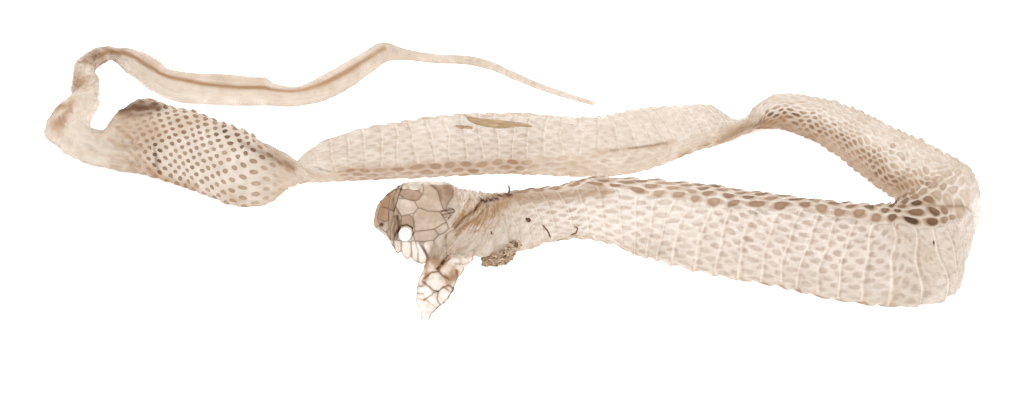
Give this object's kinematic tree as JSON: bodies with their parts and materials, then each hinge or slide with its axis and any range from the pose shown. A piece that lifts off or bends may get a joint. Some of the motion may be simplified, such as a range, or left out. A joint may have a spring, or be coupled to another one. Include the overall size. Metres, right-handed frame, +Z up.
{
  "type": "shed snake skin",
  "caption": "Dry shed skin of a slender snake, lying flattened in open folds, with the head plates, clear eye caps, torn lower jaw and a crumb of soil under the neck.",
  "frame": {"origin": "middle of the bounding box in plan, on the surface the skin rests on", "axes": "+X to the right along the longest extent, +Y away from the head towards the tail's bend, +Z up"},
  "size_m": [0.3189, 0.2761, 0.0283],
  "materials": {
    "dry_shed_skin": "satin, translucent",
    "dry_soil": "matt, grainy"
  },
  "bodies": {
    "root": {"shed_skin": "dry_shed_skin", "soil_clump": "dry_soil"}
  },
  "joints": []
}
